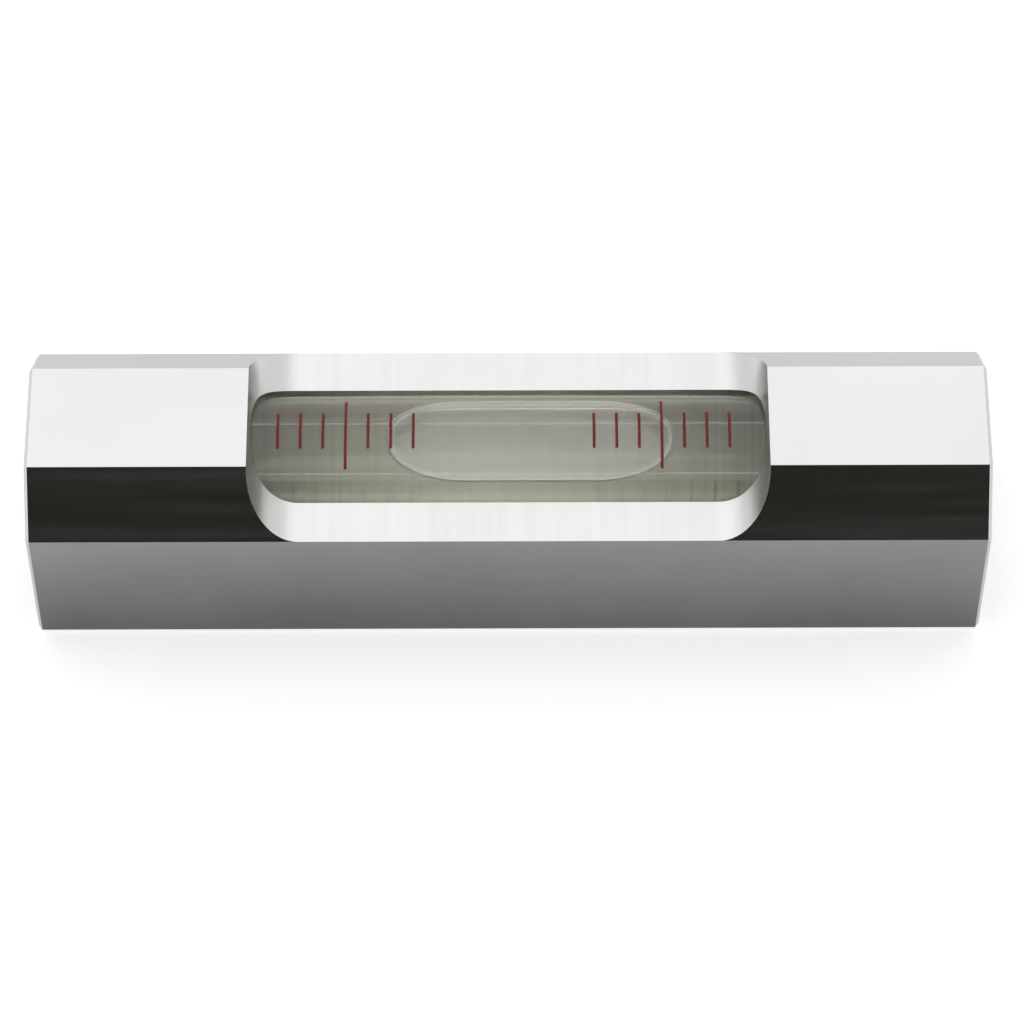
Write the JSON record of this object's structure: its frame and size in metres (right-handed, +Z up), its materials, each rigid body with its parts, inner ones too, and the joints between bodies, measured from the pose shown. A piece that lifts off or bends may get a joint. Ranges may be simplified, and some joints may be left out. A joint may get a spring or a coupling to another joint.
{
  "type": "machinist bar level",
  "caption": "Small precision bar level: a shouldered metal bar with a flat sole, a milled recess across its top and a graduated spirit vial set along it.",
  "frame": {"origin": "middle of the sole", "axes": "+X along the bar, +Y to its back, +Z up from the sole"},
  "size_m": [0.085, 0.02, 0.02],
  "materials": {
    "bar_metal": "polished, fine ground",
    "vial_glass": "clear",
    "spirit": "clear liquid, faintly grey green",
    "bubble_vapour": "clear",
    "red_ink": "dark red ink",
    "setting_cement": "matt cement",
    "plug_metal": "turned"
  },
  "bodies": {
    "level": {"level_body": "bar_metal", "vial_tube": "vial_glass", "vial_end_left": "vial_glass", "vial_end_right": "vial_glass", "spirit_fill": "spirit", "setting_left": "setting_cement", "setting_right": "setting_cement", "plug_left": "plug_metal", "plug_right": "plug_metal", "graduation_left_1": "red_ink", "graduation_left_2": "red_ink", "graduation_left_3": "red_ink", "graduation_left_4": "red_ink", "graduation_left_5": "red_ink", "graduation_left_6": "red_ink", "graduation_left_7": "red_ink", "graduation_right_1": "red_ink", "graduation_right_2": "red_ink", "graduation_right_3": "red_ink", "graduation_right_4": "red_ink", "graduation_right_5": "red_ink", "graduation_right_6": "red_ink", "graduation_right_7": "red_ink"},
    "bubble": {"bubble": "bubble_vapour"}
  },
  "joints": [
    {"name": "bubble_travel", "type": "slide", "parent": "level", "child": "bubble", "axis": [1, 0, 0], "range_m": [-0.0191, 0.0144], "deforming": ["spirit_fill"]}
  ]
}
